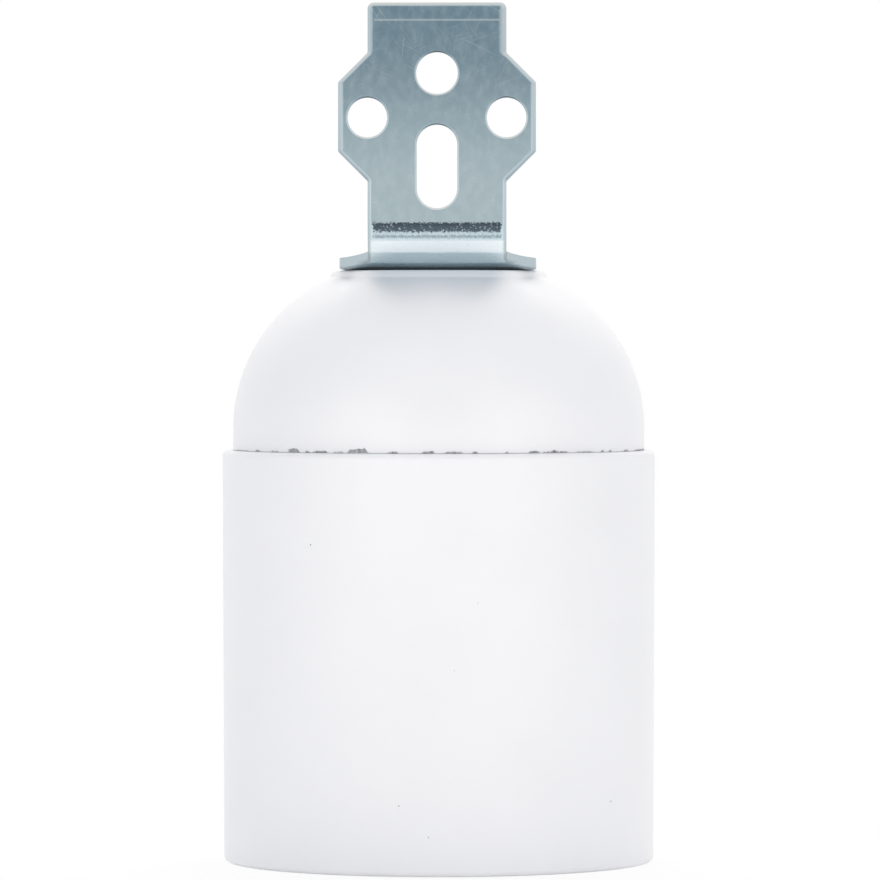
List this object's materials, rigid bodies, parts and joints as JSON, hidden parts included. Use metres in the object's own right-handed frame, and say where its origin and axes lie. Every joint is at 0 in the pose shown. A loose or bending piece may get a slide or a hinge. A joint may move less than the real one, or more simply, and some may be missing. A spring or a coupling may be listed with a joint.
{
  "type": "lamp holder",
  "caption": "E27 lamp holder with a plain moulded skirt, a domed screw-on cap and a pressed steel mounting bracket.",
  "frame": {"origin": "centre of the skirt's open rim, on the holder's axis, at the height of the surface that it stands on", "axes": "+Z along the holder's axis from the open rim up to the bracket, -Y is the side that the bracket's upright plate faces, +X to the right seen from there"},
  "size_m": [0.043, 0.043, 0.0849],
  "materials": {
    "white_thermoplastic": "moulded, satin gloss",
    "zinc_plated_steel": "bright zinc plate with a bluish passivation, fine scratches",
    "steatite": "pressed and fired, unglazed",
    "contact_bronze": "rolled phosphor bronze strip",
    "terminal_brass": "machined brass",
    "screw_steel": "turned and zinc plated"
  },
  "bodies": {
    "base": {"skirt": "white_thermoplastic"},
    "head": {"cap": "white_thermoplastic", "bracket": "zinc_plated_steel", "nipple": "zinc_plated_steel", "nut": "zinc_plated_steel", "contact_carrier": "steatite", "live_terminal": "terminal_brass", "neutral_terminal": "terminal_brass", "centre_contact_screw": "screw_steel", "side_contact_screw": "screw_steel"},
    "centre_spring": {"centre_contact": "contact_bronze"},
    "side_spring": {"side_contact": "contact_bronze"},
    "live_screw": {"live_clamp_screw": "screw_steel"},
    "neutral_screw": {"neutral_clamp_screw": "screw_steel"}
  },
  "joints": [
    {"name": "cap_unscrew", "type": "slide", "parent": "base", "child": "head", "axis": [0, 0, 1], "range_m": [0, 0.03]},
    {"name": "centre_contact_flex", "type": "hinge", "parent": "head", "child": "centre_spring", "pos_m": [0.0115, 0, 0.0372], "axis": [0, 1, 0], "range_deg": [0, 5], "stiffness_Nm_per_rad": 0.35},
    {"name": "side_contact_flex", "type": "hinge", "parent": "head", "child": "side_spring", "pos_m": [-0.0055, 0, 0.0372], "axis": [0, 1, 0], "range_deg": [0, 5], "stiffness_Nm_per_rad": 0.35},
    {"name": "live_screw_travel", "type": "slide", "parent": "head", "child": "live_screw", "axis": [0, 0, 1], "range_m": [0, 0.002]},
    {"name": "neutral_screw_travel", "type": "slide", "parent": "head", "child": "neutral_screw", "axis": [0, 0, 1], "range_m": [0, 0.002]}
  ]
}
